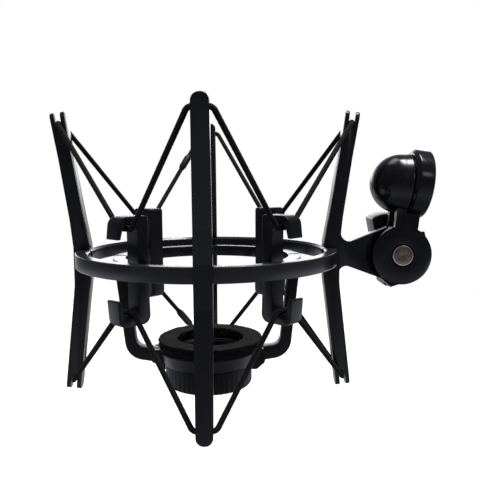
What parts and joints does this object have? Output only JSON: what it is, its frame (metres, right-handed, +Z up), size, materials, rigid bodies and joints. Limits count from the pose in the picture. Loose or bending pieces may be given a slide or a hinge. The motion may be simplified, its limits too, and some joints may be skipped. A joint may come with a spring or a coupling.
{
  "type": "microphone shock mount",
  "caption": "Elastic suspension shock mount: a ring with forked posts carries a hooked basket and threaded microphone seat on zig-zag bands, held by a tilting stand adapter.",
  "frame": {"origin": "centre of the stand socket's mouth", "axes": "+Z up along the microphone's axis, +X from the ring towards the stand socket, -Y towards the front, the barrel nut's side"},
  "size_m": [0.1591, 0.129, 0.1188],
  "materials": {
    "black_paint": "satin black powder coat, faintly blue",
    "gloss_black": "glossy black enamel on a die casting",
    "black_screw": "black oxide steel",
    "bare_steel": "turned steel, slightly tarnished",
    "brass_insert": "plain turned brass",
    "foam": "matt black foam rubber with a torn edge",
    "elastic": "black braided elastic cord",
    "nylon": "natural nylon",
    "knob_black": "glossy black moulded plastic"
  },
  "bodies": {
    "stand_adapter": {"adapter_body": "gloss_black", "socket_collar": "gloss_black", "thread_insert": "brass_insert", "barrel_nut": "bare_steel", "friction_washer_front": "nylon", "friction_washer_rear": "nylon", "spring_washer": "black_screw"},
    "clamp_knob": {"clamp_stud": "black_screw", "wing_knob": "knob_black"},
    "frame": {"outer_ring": "black_paint", "post_back": "black_paint", "post_front": "black_paint", "post_left": "black_paint", "post_right": "black_paint", "post_screw_back": "black_screw", "post_screw_front": "black_screw", "post_screw_left": "black_screw", "post_screw_right": "black_screw", "upper_band": "elastic", "lower_band": "elastic", "upper_band_sleeve": "elastic", "lower_band_sleeve": "elastic"},
    "basket": {"basket_ring": "black_paint", "hook_bracket_back_left": "black_paint", "hook_bracket_back_right": "black_paint", "hook_bracket_front_left": "black_paint", "hook_bracket_front_right": "black_paint", "bracket_screw_back_left": "black_screw", "bracket_screw_back_right": "black_screw", "bracket_screw_front_left": "black_screw", "bracket_screw_front_right": "black_screw", "yoke_arm_left": "black_paint", "yoke_arm_right": "black_paint", "yoke_screw_left": "black_screw", "yoke_screw_right": "black_screw", "seat_pin_left": "black_screw", "seat_pin_right": "black_screw", "seat_boss": "black_paint", "foam_washer": "foam"},
    "thread_ring": {"thread_ring": "gloss_black", "circlip": "black_screw"}
  },
  "joints": [
    {"name": "frame_tilt", "type": "hinge", "parent": "stand_adapter", "child": "frame", "pos_m": [-0.01058, 0, -0.02953], "axis": [0, 1, 0], "range_deg": [-120, 15]},
    {"name": "knob_turn", "type": "hinge", "parent": "stand_adapter", "child": "clamp_knob", "pos_m": [-0.01058, 0, -0.02953], "axis": [0, 1, 0], "continuous": true},
    {"name": "basket_float", "type": "slide", "parent": "frame", "child": "basket", "axis": [0, 0, 1], "range_m": [-0.004, 0.004], "stiffness_N_per_m": 1500, "springref_m": 0.0013, "deforming": ["upper_band", "upper_band_sleeve", "lower_band", "lower_band_sleeve"]},
    {"name": "thread_ring_turn", "type": "hinge", "parent": "basket", "child": "thread_ring", "pos_m": [-0.09278, 0, -0.08003], "axis": [0, 0, 1], "continuous": true}
  ]
}
